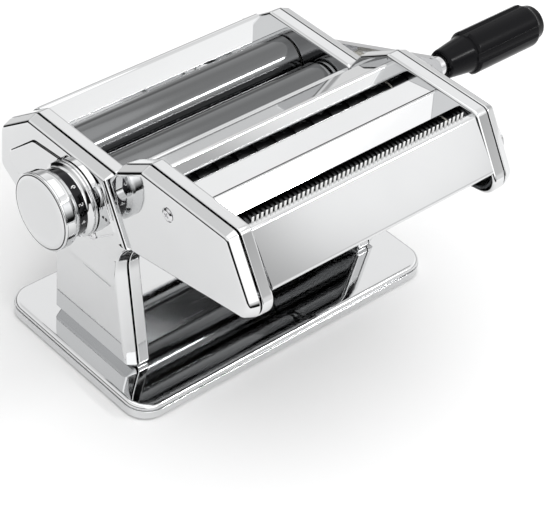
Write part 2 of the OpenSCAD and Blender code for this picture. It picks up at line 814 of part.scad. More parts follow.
module cutter_left_cover() {
  color("whitesmoke") other_side() difference() {
    union() {
      pressed_cover(pod);
      slab(stadium(dimple_w + 2 * dimple_t, dimple_h + 2 * dimple_t), 0, xs - dimple_deep, xs + cover_t / 3);
    }
    for (p = pod_screws) rod(xs - 1, xf + 1, p, screw_d + screw_c);
    slab(stadium(dimple_w, dimple_h), 0, xs - dimple_deep + 1, xf + 1);
  }
}
module cutter_right_cover() {
  color("whitesmoke") difference() {
    pressed_cover(pod);
    for (i = [0, 2]) rod(xc, xf + 1, cutter_axes[i], cut_jour_d + socket_c);
    for (p = pod_gear_side_screws) rod(xs - 1, xf + 1, p, screw_d + screw_c);
  }
}
module cutter_cover_screws() {
  color("gainsboro") {
    for (p = pod_screws) other_side() cross_screw(p, xf);
    for (p = pod_gear_side_screws) cross_screw(p, xf);
  }
}
rod_out = 2.5;
module cutter_spacers() {
  color("silver") {
    for (p = pod_rods) rod(-xp - rod_out, xp + rod_out, p, rod_end_d);
    for (p = pod_rods) rod(-xi, xi, p, spacer_d);
    for (p = pod_screws) other_side() standoff(p);
    for (p = pod_gear_side_screws) standoff(p);
  }
}
front_path = up([[-93.6, 38.8, 1], [-98.6, 42.6, 1.4], [-117.4, 17.2, 1.5], [-114.6, 15.6, 1]]);
roof_path = up([[-79, 34, 1], [-70.4, 42.2, 0.8], [-53.5, 40.8, 1.4], [-51, 36.8, 1]]);
rear_path = up([[-40, 34.2, 1], [-35.6, 40.6, 1.4], [-17.6, 30, 2]]);
rear_foot = [-6, 1.5, 1];
module cutter_front_panel() {
  color("whitesmoke") sheet(front_path, hood_t, -xi, xi);
}
module cutter_roof() {
  color("whitesmoke") sheet(roof_path, hood_t, -xi, xi);
}
module cutter_rear_panel() {
  a = on_slant(pod_off + guard_in + hood_t / 2, guard_bend);
  b = on_slant(pod_off + guard_in + hood_t / 2, slant - guard_bend);
  color("whitesmoke") sheet(concat(rear_path, [
    [b[0], b[1], guard_bend], [a[0], a[1], guard_bend], [a[0] + rear_foot[0], a[1] + rear_foot[1], rear_foot[2]]
  ]), hood_t, -xi, xi);
}
module cutter_hooks() {
  s0 = -guard_in + rail_foot_t + rail_gap;
  s1 = -2 * lap - rail_gap;
  s2 = rail_head_s + rail_gap;
  s3 = pod_off + guard_in;
  jaw = rail_head_w / 2 + rail_gap;
  lip = rail_neck_w / 2 + rail_gap;
  color("silver") for (x = [-rail_x, rail_x]) {
    slant_block(s2, s3, hook_low, hook_top, x, hook_w);
    for (m = [-1, 1]) {
      slant_block(s0, s2 + lap, hook_low, hook_top, x + m * (jaw + hook_w / 2) / 2, hook_w / 2 - jaw);
      slant_block(s0, s1, hook_low, hook_top, x + m * (lip + jaw + lap) / 2, jaw + lap - lip);
    }
  }
}
module cutter_bushings() {
  color("goldenrod") for (p = cutter_axes) {
    flanged_bush(p, cut_jour_d, cut_wall_t, bush_rim / 2);
    other_side() flanged_bush(p, cut_idle_d, ring_t, bush_rim / 2);
  }
}
// a strip with teeth along its upper edge, standing in the X Z plane
function comb_row(p, n, w, h0, h1, h2) = concat(
  [[-xi, h0]], [[-xi, h1]],
  [for (i = [0 : n - 1]) let (x = (i - (n - 1) / 2) * p)
    each [[x - w / 2, h1], [x - w / 2, h2], [x + w / 2, h2], [x + w / 2, h1]]],
  [[xi, h1]], [[xi, h0]]
);
comb_at = [-97.2, axis_z + 37.75];
comb_lean = 15;
comb_back = 3.6;
comb_h = 8.6;
comb_margin = 2;
disc_step = 1.1;
tooth_in = 0.35;
tooth_l = 1.4;
tooth_c = 0.3;
strip_h = 5;
row_margin = 3;
module feed_comb() {
  n = floor((bay - 2 * comb_margin) / narrow_p);
  color("white") translate([0, comb_at[0], comb_at[1]]) rotate([-comb_lean, 0, 0]) linear_extrude(comb_t)
    polygon(comb_row(narrow_p, n, narrow_p / 2, 0, comb_back, comb_h));
}
module stripper(at, p, n, off) {
  tip = disc_d / 2 - disc_step + tooth_in;
  w = p / 2 - 2 * disc_c - tooth_c;
  translate([off, at[0], at[1]]) rotate([90, 0, 0]) translate([0, 0, -comb_t / 2]) linear_extrude(comb_t)
    polygon([for (v = comb_row(p, n, w, -tip - strip_h, -tip - tooth_l, -tip))
      [max(-xi - off, min(xi - off, v[0])), v[1]]]);
}
function discs(p) = 2 * floor((bay - 2 * row_margin) / p / 2);
module wide_combs() {
  color("gainsboro") {
    stripper(cutter_axes[0], wide_p, discs(wide_p), wide_p / 4);
    stripper(cutter_axes[1], wide_p, discs(wide_p), -wide_p / 4);
  }
}
module narrow_combs() {
  color("gainsboro") {
    stripper(cutter_axes[2], narrow_p, discs(narrow_p), narrow_p / 4);
    stripper(cutter_axes[3], narrow_p, discs(narrow_p), -narrow_p / 4);
  }
}
socket_ring_d = 22;
ring_h = 1.4;
module cutter_socket_rings() {
  color("silver") for (i = [0, 2]) difference() {
    rod(xf, xf + ring_h, cutter_axes[i], socket_ring_d);
    rod(xf - 1, xf + ring_h + 1, cutter_axes[i], cut_jour_d + socket_c);
  }
}
// interleaving discs turned on one core; off moves the row by a quarter pitch
module disc_roller(at, p, off, driven) {
  n = discs(p);
  w = p / 2 - disc_c;
  end = driven ? jour_x - 0.6 : gear_x1 + gear_gap;
  core = disc_d / 2 - disc_step;
  color("silver") translate([0, at[0], at[1]]) difference() {
    rotate([0, 90, 0]) rotate_extrude($fn = 64) polygon(concat(
      [[0, -xp - ring_t], [cut_idle_d / 2, -xp - ring_t], [cut_idle_d / 2, -xi + end_gap], [core, -xi + end_gap]],
      [for (i = [0 : n - 1]) let (x = (i - (n - 1) / 2) * p + off)
        each [[core, x - w / 2], [disc_d / 2, x - w / 2], [disc_d / 2, x + w / 2], [core, x + w / 2]]],
      [[core, xi - end_gap], [cut_jour_d / 2, xi - end_gap], [cut_jour_d / 2, end], [0, end]]
    ));
    if (driven) {
      hex_rod(jour_x - bit_l, jour_x + 1, [0, 0], hex_af + hex_c);
      rod(jour_x - 1.6, jour_x + 1, [0, 0], hex_af / cos(30) + 4 * hex_c);
    }
  }
}
module cutter_gear(at, phase) {
  color("goldenrod") gear(at, cut_teeth, cut_tooth, phase, cut_jour_d);
}
module wide_drive_roller() {
  disc_roller(cutter_axes[0], wide_p, -wide_p / 4, true);
}
module wide_drive_gear() {
  cutter_gear(cutter_axes[0], 0);
}
module wide_idle_roller() {
  disc_roller(cutter_axes[1], wide_p, wide_p / 4, false);
}
module wide_idle_gear() {
  cutter_gear(cutter_axes[1], 180 / cut_teeth);
}
module narrow_drive_roller() {
  disc_roller(cutter_axes[2], narrow_p, -narrow_p / 4, true);
}
module narrow_drive_gear() {
  cutter_gear(cutter_axes[2], 0);
}
module narrow_idle_roller() {
  disc_roller(cutter_axes[3], narrow_p, narrow_p / 4, false);
}
module narrow_idle_gear() {
  cutter_gear(cutter_axes[3], 180 / cut_teeth);
}

base_tray();
foot_frame();
base_fasteners();
left_side_plate();
right_side_plate();
left_end_cover();
right_end_cover();
end_cover_screws();
cover_standoffs();
rear_guard();
front_guard();
tie_rods();
tie_rod_nuts();
roller_bushings();
regulator_bushings();
index_plate();
crank_bezel();
fixed_scraper();
cutter_rails();
drive_roller();
drive_gear();
crank_shaft();
crank_arm();
grip_pin();
grip_ferrule();
crank_grip();
regulator_shaft();
knob_spring();
knob_screw();
thickness_knob();
knob_cap();
locating_pin();
scraper_hangers();
swing_scraper();
adjustable_roller();
adjustable_gear();
cutter_left_plate();
cutter_right_plate();
cutter_left_cover();
cutter_right_cover();
cutter_cover_screws();
cutter_spacers();
cutter_front_panel();
cutter_roof();
cutter_rear_panel();
cutter_hooks();
cutter_bushings();
feed_comb();
wide_combs();
narrow_combs();
cutter_socket_rings();
wide_drive_roller();
wide_drive_gear();
wide_idle_roller();
wide_idle_gear();
narrow_drive_roller();
narrow_drive_gear();
narrow_idle_roller();
narrow_idle_gear();
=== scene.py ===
"""Pasta roller machine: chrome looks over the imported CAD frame.

Sizes are in millimetres, and MM turns them into Blender's metres. +Z is up and +X the crank side. An outline
is a list of corners (y, z, radius). An end's shapes are drawn for the right side, and flip_x makes the left.
"""

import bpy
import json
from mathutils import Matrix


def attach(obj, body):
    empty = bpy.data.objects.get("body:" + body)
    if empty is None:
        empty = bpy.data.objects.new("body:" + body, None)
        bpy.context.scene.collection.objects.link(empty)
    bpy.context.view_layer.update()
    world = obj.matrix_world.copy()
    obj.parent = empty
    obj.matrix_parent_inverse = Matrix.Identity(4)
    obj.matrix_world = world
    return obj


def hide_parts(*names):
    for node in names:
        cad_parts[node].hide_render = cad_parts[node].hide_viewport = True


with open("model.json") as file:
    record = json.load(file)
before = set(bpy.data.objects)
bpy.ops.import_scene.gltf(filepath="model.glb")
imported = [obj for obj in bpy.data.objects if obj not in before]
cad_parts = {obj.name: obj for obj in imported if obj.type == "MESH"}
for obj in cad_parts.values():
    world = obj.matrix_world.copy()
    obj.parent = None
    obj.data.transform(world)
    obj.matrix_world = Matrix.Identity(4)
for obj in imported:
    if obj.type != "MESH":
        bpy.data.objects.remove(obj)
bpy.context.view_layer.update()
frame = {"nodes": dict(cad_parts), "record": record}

import json
import math
import bmesh
import bpy
from mathutils import Matrix, Vector

MM = 0.001
# facets of a turned piece, and the distance within which points are merged
SEG, MERGE = 112, 0.002

# sizes repeated from the CAD source
PLATE_IN, PLATE_T, FLANGE_END = 77.0, 1.5, 84.7
PLATE_OUT = PLATE_IN + PLATE_T
COVER_RIM, FACE, COVER_T, DRAFT, EMBOSS = 85.3, 92.0, 1.5, 2.4, 0.8
PANEL_FACE = FACE + EMBOSS
AXIS_Z = 102.8
KNOB = (12.7, AXIS_Z)
ROLL = (42.2, AXIS_Z)
REST = (11.4, AXIS_Z)
ARM_L, ARM_DEG = 88.2, 18.7
GRIP = (ROLL[0] - ARM_L * math.cos(math.radians(ARM_DEG)), ROLL[1] + ARM_L * math.sin(math.radians(ARM_DEG)))
GRIP_X, GRIP_L = 112.5, 75.5
HEAD = [(-32, 9.6, 3), (34.3, 9.6, 3), (34.5, 50.5, 10), (83.5, 78.8, 8), (83.5, 106, 8),
        (58.5, 125, 4), (-6.5, 125, 3), (-27.5, 89.5, 2), (-17.9, 80.1, 20)]
POD = [(-125.9, 106.2, 10), (-28.2, 89.9, 2), (-7.2, 125.4, 2), (-13.6, 135.6, 3),
       (-33.3, 147.8, 4), (-99.2, 148.2, 5)]
PANEL = [(-17, 96, 4), (-2, 84, 10), (66, 84, 8), (77.5, 90, 6), (52, 113.5, 6), (-4, 118.5, 4)]


# ---------------------------------------------------------------- flat geometry
def clamp(t):
    """t kept between 0 and 1."""
    return max(0.0, min(1.0, t))


def smooth(t):
    """Soft step from 0 to 1."""
    return t * t * (3 - 2 * t)


def _unit(v):
    n = math.hypot(*v)
    return (v[0] / n, v[1] / n)


def _left(v):
    """Unit vector a quarter turn to the left of v."""
    u = _unit(v)
    return (-u[1], u[0])


def _cross(a, b):
    """Above 0 where b turns to the left of a."""
    return a[0] * b[1] - a[1] * b[0]


def circle(at, r, n):
    """n points round the place at."""
    angles = [2 * math.pi * i / n for i in range(n)]
    return [(at[0] + r * math.cos(a), at[1] + r * math.sin(a)) for a in angles]


def arc(p, u, w, r, n):
    """n + 1 points of the rounding of radius r at corner p, from direction u to direction w."""
    half = math.acos(max(-1, min(1, u[0] * w[0] + u[1] * w[1]))) / 2
    b = _unit((u[0] + w[0], u[1] + w[1]))
    m = (p[0] + b[0] * r / math.sin(half), p[1] + b[1] * r / math.sin(half))
    s = (p[0] + u[0] * r / math.tan(half) - m[0], p[1] + u[1] * r / math.tan(half) - m[1])
    e = (p[0] + w[0] * r / math.tan(half) - m[0], p[1] + w[1] * r / math.tan(half) - m[1])
    a0 = math.atan2(s[1], s[0])
    sweep = math.atan2(_cross(s, e), s[0] * e[0] + s[1] * e[1])
    angles = [a0 + sweep * k / n for k in range(n + 1)]
    return [(m[0] + r * math.cos(a), m[1] + r * math.sin(a)) for a in angles]


def _offset(prev, p, nxt, d):
    """Corner p moved to the left of the path by d, and the path's directions into and out of it."""
    ab = (p[0] - prev[0], p[1] - prev[1])
    bc = (nxt[0] - p[0], nxt[1] - p[1])
    la, lb = _left(ab), _left(bc)
    m = _unit((la[0] + lb[0], la[1] + lb[1]))
    k = d / (m[0] * la[0] + m[1] * la[1])
    return (p[0] + m[0] * k, p[1] + m[1] * k), ab, bc


def outline(corners, d=0.0, n=8, least=0.3):
    """Closed outline with rounded corners, moved inward by d. No rounding is smaller than least."""
    out = []
    for i, (y, z, r) in enumerate(corners):
        q, ab, bc = _offset(corners[i - 1], (y, z), corners[(i + 1) % len(corners)], d)
        moved_r = max(least, r - d * math.copysign(1, _cross(ab, bc)))
        out += arc(q, _unit((-ab[0], -ab[1])), _unit(bc), moved_r, n)
    return out


def side(path, d, least=0.3):
    """Corners of an open path, moved to its left by d."""
    out = []
    for i, (y, z, r) in enumerate(path):
        inner = 0 < i < len(path) - 1
        prev = path[i - 1] if i else (2 * y - path[1][0], 2 * z - path[1][1])
        nxt = path[i + 1] if i < len(path) - 1 else (2 * y - prev[0], 2 * z - prev[1])
        q, ab, bc = _offset(prev, (y, z), nxt, d)
        moved_r = max(least, r - d * math.copysign(1, _cross(ab, bc))) if inner else least
        out.append((*q, moved_r))
    return out


def bent(path, t, n=9):
    """Section of a sheet t thick, bent along a path."""
    return outline(side(path, -t / 2) + side(path, t / 2)[::-1], 0, n)


def rounded(points, n=8):
    """Open path with rounded corners. points are (a, b, radius)."""
    out = [points[0][:2]]
    for prev, p, nxt in zip(points, points[1:], points[2:]):
        u = _unit((prev[0] - p[0], prev[1] - p[1]))
        w = _unit((nxt[0] - p[0], nxt[1] - p[1]))
        out += arc(p[:2], u, w, p[2], n) if p[2] > 0 else [p[:2]]
    out.append(points[-1][:2])
    return out


def stadium(at, w, h, n=24):
    """Upright slot w wide and h high, with round ends."""
    out = []
    for start, rise in ((0, (h - w) / 2), (math.pi, (w - h) / 2)):
        for i in range(n + 1):
            a = start + math.pi * i / n
            out.append((at[0] + w / 2 * math.cos(a), at[1] + rise + w / 2 * math.sin(a)))
    return out


# ---------------------------------------------------------------- solids, as (verts, faces) in millimetres
def loft(rings, cap_start=True, cap_end=True):
    """Skin through rings of equal length."""
    n = len(rings[0])
    verts = [v for r in rings for v in r]
    faces = []
    for k in range(len(rings) - 1):
        a, b = k * n, (k + 1) * n
        faces += [(a + i, a + (i + 1) % n, b + (i + 1) % n, b + i) for i in range(n)]
    if cap_start:
        faces.append(tuple(range(n - 1, -1, -1)))
    if cap_end:
        faces.append(tuple(range((len(rings) - 1) * n, len(rings) * n)))
    return verts, faces


def extruded(shape, x0, x1):
    """Outline of (y, z) carried from x0 to x1."""
    return loft([[(x0, y, z) for y, z in shape], [(x1, y, z) for y, z in shape]])


def lathe(profile, at, seg=SEG, closed=False, sx=1):
    """Profile of (x, radius) turned about the X axis through at. Radius 0 makes a pole. sx -1 mirrors x."""
    verts, faces, rows = [], [], []
    for x, r in profile:
        ring = circle(at, r, seg) if r > 1e-6 else [at]
        rows.append(range(len(verts), len(verts) + len(ring)))
        verts += [(sx * x, y, z) for y, z in ring]
    pairs = list(zip(rows, rows[1:])) + ([(rows[-1], rows[0])] if closed else [])
    for a, b in pairs:
        if len(a) == 1 and len(b) == 1:
            continue
        for i in range(seg):
            j = (i + 1) % seg
            if len(a) == 1:
                faces.append((a[0], b[j], b[i]))
            elif len(b) == 1:
                faces.append((a[i], a[j], b[0]))
            else:
                faces.append((a[i], a[j], b[j], b[i]))
    return verts, faces


def cylinder(x0, x1, at, d, seg=64):
    """Round rod along X."""
    return lathe([(x0, 0), (x0, d / 2), (x1, d / 2), (x1, 0)], at, seg)


def join(*parts):
    """Several parts as one."""
    verts, faces = [], []
    for v, f in parts:
        n = len(verts)
        verts += v
        faces += [tuple(i + n for i in q) for q in f]
    return verts, faces


def flip_x(part):
    """The part mirrored to the other end."""
    return [(-x, y, z) for x, y, z in part[0]], [tuple(reversed(f)) for f in part[1]]


# ---------------------------------------------------------------- Blender objects
def new_object(name, part):
    """Object from (verts, faces), with close points merged and normals outward."""
    verts, faces = part
    mesh = bpy.data.meshes.new(name)
    mesh.from_pydata([(x * MM, y * MM, z * MM) for x, y, z in verts], [], faces)
    mesh.validate()
    bm = bmesh.new()
    bm.from_mesh(mesh)
    bmesh.ops.remove_doubles(bm, verts=bm.verts, dist=MERGE * MM)
    bmesh.ops.recalc_face_normals(bm, faces=bm.faces)
    bm.to_mesh(mesh)
    bm.free()
    obj = bpy.data.objects.new(name, mesh)
    bpy.context.scene.collection.objects.link(obj)
    return obj


def finish_mesh(obj, sharp=35, bevel=0.0, segments=3):
    """Smooth shading. Edges above the angle sharp are rounded by bevel or kept sharp. Flats stay flat."""
    obj.data.polygons.foreach_set("use_smooth", [True] * len(obj.data.polygons))
    if bevel:
        m = obj.modifiers.new("bevel", "BEVEL")
        m.width = bevel * MM
        m.segments = segments
        m.limit_method = "ANGLE"
        m.angle_limit = math.radians(sharp)
    else:
        obj.data.set_sharp_from_angle(angle=math.radians(sharp))
    w = obj.modifiers.new("flats", "WEIGHTED_NORMAL")
    w.keep_sharp = True
    w.weight = 90


def piece(name, part, body, material, replaces=(), sharp=35, bevel=0.0):
    """A piece of the scene on a CAD body. replaces names the CAD nodes it stands for."""
    obj = new_object(name, part)
    finish_mesh(obj, sharp, bevel)
    obj.data.materials.append(material)
    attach(obj, body)
    if replaces:
        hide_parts(*replaces)
    return obj


def cut(obj, *tools):
    """Cuts closed shapes out of a piece's own mesh, under its other modifiers."""
    tool = new_object("cutter", join(*tools))
    others = list(obj.modifiers)
    for x in others:
        x.show_viewport = False
    m = obj.modifiers.new("cut", "BOOLEAN")
    m.operation = "DIFFERENCE"
    m.solver = "EXACT"
    m.object = tool
    bpy.context.view_layer.update()
    done = bpy.data.meshes.new_from_object(obj.evaluated_get(bpy.context.evaluated_depsgraph_get()))
    obj.modifiers.remove(m)
    for x in others:
        x.show_viewport = True
    bpy.data.objects.remove(tool)
    obj.data = done


# ---------------------------------------------------------------- shader nodes
def connect(tree, value, socket):
    """Links an output to a socket, or sets the socket's own value."""
    if isinstance(value, bpy.types.NodeSocket):
        tree.links.new(value, socket)
    else:
        socket.default_value = value


def maths(tree, operation, *values):
    """Output of a Math node."""
    node = tree.nodes.new("ShaderNodeMath")
    node.operation = operation
    for value, socket in zip(values, node.inputs):
        connect(tree, value, socket)
    return node.outputs["Value"]


def mix(tree, kind, factor, a, b):
    """Mix of a and b. kind is RGBA or FLOAT."""
    node = tree.nodes.new("ShaderNodeMix")
    node.data_type = kind
    for name, value in (("Factor", factor), ("A", a), ("B", b)):
        connect(tree, value, node.inputs[name])
    return node.outputs["Result"]


def spread(tree, value, start, end, low, high, interpolation="LINEAR"):
    """A value from start to end, spread from low to high."""
    node = tree.nodes.new("ShaderNodeMapRange")
    node.interpolation_type = interpolation
    connect(tree, value, node.inputs["Value"])
    for name, number in (("From Min", start), ("From Max", end), ("To Min", low), ("To Max", high)):
        node.inputs[name].default_value = number
    return node.outputs["Result"]


def noise(tree, vector, scale, detail):
    """Noise from 0 to 1 over a place."""
    node = tree.nodes.new("ShaderNodeTexNoise")
    for name, value in (("Vector", vector), ("Scale", scale), ("Detail", detail)):
        connect(tree, value, node.inputs[name])
    return node.outputs["Fac"]


def bumps(tree, height, strength, depth):
    """Normal of a surface with bumps depth metres high."""
    node = tree.nodes.new("ShaderNodeBump")
    for name, value in (("Height", height), ("Strength", strength), ("Distance", depth)):
        connect(tree, value, node.inputs[name])
    return node.outputs["Normal"]


def tones(tree, factor, colour, dim):
    """Colour that fades to dim times itself."""
    return mix(tree, "RGBA", factor, (*colour, 1), (*[c * dim for c in colour], 1))


# ---------------------------------------------------------------- materials
STRETCH = {"X": (0.02, 1, 1), None: (1, 1, 1)}
SMUDGE_SCALE, SMUDGE_DETAIL, SMUDGE_RANGE, LEAST_SMUDGE = 22, 3, (0.35, 0.75), 0.004
METAL_DETAIL, METAL_DIM = 4, 0.93
PLASTIC_DETAIL, PLASTIC_DIM, PLASTIC_SMUDGE = 5, 0.8, 0.08
# heights of the bumps, in metres
METAL_BUMP, PLASTIC_BUMP = 0.00005, 0.0001


def new_material(name):
    """New material, its node tree and its shader."""
    material = bpy.data.materials.new(name)
    material.use_nodes = True
    return material, material.node_tree, material.node_tree.nodes["Principled BSDF"]


def metal(name, colour, rough, grain=0.0, scale=900.0, smudge=0.0, brushed=None, bump=0.0):
    """Metal whose roughness and tone vary a little. brushed is the axis along which faint lines run."""
    material, tree, shader = new_material(name)
    shader.inputs["Metallic"].default_value = 1.0
    place = tree.nodes.new("ShaderNodeTexCoord").outputs["Object"]
    mapping = tree.nodes.new("ShaderNodeMapping")
    mapping.inputs["Scale"].default_value = STRETCH[brushed]
    connect(tree, place, mapping.inputs["Vector"])
    fine = noise(tree, mapping.outputs["Vector"], scale, METAL_DETAIL)
    broad = noise(tree, place, SMUDGE_SCALE, SMUDGE_DETAIL)
    smudges = spread(tree, broad, *SMUDGE_RANGE, rough, rough + smudge + LEAST_SMUDGE)
    connect(tree, maths(tree, "MULTIPLY_ADD", fine, grain, smudges), shader.inputs["Roughness"])
    connect(tree, tones(tree, broad, colour, METAL_DIM), shader.inputs["Base Color"])
    if bump:
        connect(tree, bumps(tree, fine, bump, METAL_BUMP), shader.inputs["Normal"])
    return material


def plastic(name, colour, rough, scale=600.0, bump=0.05, specular=0.5):
    """Plastic or rubber with a fine grain in its tone, gloss and surface."""
    material, tree, shader = new_material(name)
    shader.inputs["Specular IOR Level"].default_value = specular
    fine = noise(tree, tree.nodes.new("ShaderNodeTexCoord").outputs["Object"], scale, PLASTIC_DETAIL)
    connect(tree, tones(tree, fine, colour, PLASTIC_DIM), shader.inputs["Base Color"])
    connect(tree, spread(tree, fine, 0.0, 1.0, rough, rough + PLASTIC_SMUDGE), shader.inputs["Roughness"])
    connect(tree, bumps(tree, fine, bump, PLASTIC_BUMP), shader.inputs["Normal"])
    return material


CHROME = metal("chrome_sheet", (0.72, 0.725, 0.73), 0.022, grain=0.012, smudge=0.018)
KNOB_CHROME = metal("knob_chrome", (0.70, 0.705, 0.71), 0.018, grain=0.01, smudge=0.012)
# roller steel darkened well below its bright finish: painted shade between the side plates
ROLLER_IN_PAINTED_SHADE = metal("roller_steel", (0.17, 0.173, 0.176), 0.07, grain=0.05, brushed="X", scale=500, bump=0.02)
# cutter discs near black: painted shade deep in their slots, over real rough steel
CUTTER_IN_PAINTED_SHADE = metal("cutter_steel", (0.06, 0.061, 0.063), 0.32, grain=0.08, scale=700, bump=0.03)
# dark glossy band on the knob's waist: a painted dark reflection behind the digits
PAINTED_REFLECTION_BAND = metal("knob_band", (0.025, 0.025, 0.027), 0.06, grain=0.01)
GEAR = metal("gear_steel", (0.32, 0.32, 0.31), 0.3, grain=0.1, scale=400, smudge=0.1, bump=0.05)
BRIGHT = metal("bright_steel", (0.7, 0.7, 0.71), 0.05, grain=0.03, smudge=0.03)
PLAIN = metal("plain_steel", (0.36, 0.365, 0.37), 0.22, grain=0.08, brushed="X", scale=500, bump=0.03)
SPRING = metal("spring_steel", (0.3, 0.3, 0.31), 0.2, grain=0.06, scale=600)
NYLON = plastic("bush_nylon", (0.78, 0.76, 0.68), 0.42)
COMB = plastic("comb_nylon", (0.93, 0.93, 0.92), 0.32)
RUBBER = plastic("foot_rubber", (0.02, 0.02, 0.02), 0.6, bump=0.2)
BLACK = plastic("grip_black", (0.005, 0.005, 0.006), 0.17, scale=250, bump=0.02, specular=0.08)
INK = plastic("dial_ink", (0.85, 0.85, 0.85), 0.4)
# black for the printed pointer dot and the knob's cap joint, and for the painted shadow line on the roof
DARK = plastic("ink_and_painted_shadow", (0.02, 0.02, 0.02), 0.5)

# ---------------------------------------------------------------- the CAD nodes
BY_SLOT = {"chrome_sheet": CHROME, "roller_steel": ROLLER_IN_PAINTED_SHADE, "cutter_steel": CUTTER_IN_PAINTED_SHADE, "gear_steel": GEAR,
           "bush_nylon": NYLON, "bright_steel": BRIGHT, "plain_steel": PLAIN, "spring_steel": SPRING,
           "foot_rubber": RUBBER, "grip_black": BLACK, "comb_nylon": COMB}
SLOT_OF = {s["node"]: s["material_slot"] for s in frame["record"]["subparts"]}
# nodes that look other than their slot: the ferrule takes the darker plain steel instead of its slot's bright
# steel, as painted shade in the grip's hollow mouth
PAINTED_SHADE_LOOKS = {"grip_ferrule": PLAIN}
# widths of the rounded edges
BEVELS = {
    0.1: "wide_drive_gear wide_idle_gear narrow_drive_gear narrow_idle_gear",
    0.12: "drive_gear adjustable_gear",
    0.15: "knob_screw",
    0.2: "grip_pin locating_pin regulator_shaft fixed_scraper swing_scraper "
         "regulator_bushings roller_bushings cutter_bushings",
    0.25: "cutter_rails",
    0.3: "base_fasteners tie_rods tie_rod_nuts grip_ferrule cutter_spacers cutter_hooks index_plate",
    0.4: "crank_bezel crank_shaft cutter_socket_rings",
    0.5: "crank_arm",
    0.6: "foot_frame",
}
BEVEL_OF = {node: width for width, nodes in BEVELS.items() for node in nodes.split()}
for node, obj in frame["nodes"].items():
    obj.data.materials.clear()
    obj.data.materials.append(PAINTED_SHADE_LOOKS.get(node, BY_SLOT[SLOT_OF[node]]))
    finish_mesh(obj, 30, BEVEL_OF.get(node, 0.0), 2)


# ---------------------------------------------------------------- pressed covers
COVER_GAP, EDGE_R, COVER_BEVEL, PANEL_BEVEL = 0.25, 2.4, 0.35, 0.15
LEG_TOP, LEG_FADE, LEG_LEAN = 16, 5, 2.6
SCREW_D, SCREW_RING, SCREW_H, SCREW_LAP = 7.4, 0.25, 1.15, 0.3
WELL_D, WELL_DEEP, NOTCH_D = SCREW_D + 0.9, 0.4, SCREW_D + 0.4
# how far a cutting tool stands past what it cuts, behind and in front
TOOL_BACK, TOOL_PAST = 1, 2
# screws are (y, z, x of the face they sit on)
LEFT_SCREWS = [(1.9, 84.5, PANEL_FACE), (23.3, 117, FACE)]
RIGHT_SCREWS = [(1.9, 78, FACE), (70, 94, PANEL_FACE)]
POD_LEFT_SCREWS = [(-55.5, 133.4, FACE)]
POD_RIGHT_SCREWS = [(-67, 109.5, FACE), (-20.5, 119, FACE)]
SOCKETS = [(-55.6, 122), (-97.6, 124)]
ROLLER_HOLE_D, REGULATOR_HOLE_D, KNOB_HOLE_D, SOCKET_HOLE_D = 16.4, 15, 24, 15.4
DIMPLE, DIMPLE_W, DIMPLE_H, DIMPLE_DEEP = (-19.8, 127.2), 8.8, 14.4, 2.1


def sheet(name, part, body, replaces=(), sharp=50, bevel=0.0):
    """Piece of chromed sheet."""
    return piece(name, part, body, CHROME, replaces, sharp, bevel)


def cover(corners, legs=False):
    """Pressed cover: lip, drafted wall, rounded edge, flat face. With legs, their ends lean in more."""
    x0 = COVER_RIM + COVER_GAP
    prof = rounded([(x0, COVER_T * 0.6, 0), (x0, 0.09, 0.5), (FACE, DRAFT, EDGE_R), (FACE, DRAFT + 4, 0)], 12)
    rings = []
    for x, inset in [(x0, COVER_T)] + prof:
        share = max(0.0, (x - COVER_RIM) / (FACE - COVER_RIM))
        ring = []
        for y, z in outline(corners, inset):
            if legs and z < LEG_TOP:
                z += LEG_LEAN * share * clamp((LEG_TOP - z) / LEG_FADE)
            ring.append((x, y, z))
        rings.append(ring)
    return loft(rings)


def raised(corners, x0, x1, width, steps=8):
    """Low raised panel. Its softly curved side is width wide."""
    rings = []
    for k in range(steps + 1):
        t = k / steps
        x = x0 + (x1 - x0) * smooth(t)
        rings.append([(x, y, z) for y, z in outline(corners, (t - 0.5) * width)])
    return loft(rings, cap_start=False)


def through(at, d):
    """Hole through a cover's face."""
    return cylinder(COVER_RIM - TOOL_BACK, PANEL_FACE + TOOL_PAST, at, d)


def well(y, z, x):
    """Shallow round recess under a screw head."""
    return cylinder(x - WELL_DEEP, x + TOOL_PAST, (y, z), WELL_D)


def panel_notch(y, z, x):
    """Room in the raised panel for a screw head that sits on the face beside it."""
    return cylinder(x + 0.02, PANEL_FACE + TOOL_PAST, (y, z), NOTCH_D)


def dimple():
    """Upright oval recess in the left pod cover's face, drawn where it is."""
    return extruded(stadium(DIMPLE, DIMPLE_W, DIMPLE_H), -PANEL_FACE - TOOL_PAST, DIMPLE_DEEP - FACE)


def leg_step():
    """Soft step across the leg cover under the knob: the head's face stands a little proud of the leg's."""
    x0, z0, lean = FACE + 0.004, 60.3, 0.04
    shares = [(-16.6, 0.0), (-15.6, 0.7), (-14, 1.0), (-4, 0.95), (6, 0.8), (14, 0.5), (20, 0.2), (25, 0.0)]
    rises = [(17, 0), (11, 0.12), (6, 0.32), (2.5, 0.6), (1.2, 0.7), (0.2, 0.62), (-0.8, 0.34), (-1.6, 0.1),
             (-2.4, 0.0)]
    verts = [(x0 + rise * share, y - lean * up, z0 + up) for y, share in shares for up, rise in rises]
    rows, faces = len(rises), []
    for i in range(len(shares) - 1):
        for a in range(i * rows, i * rows + rows - 1):
            faces.append((a, a + rows, a + rows + 1, a + 1))
    return verts, faces


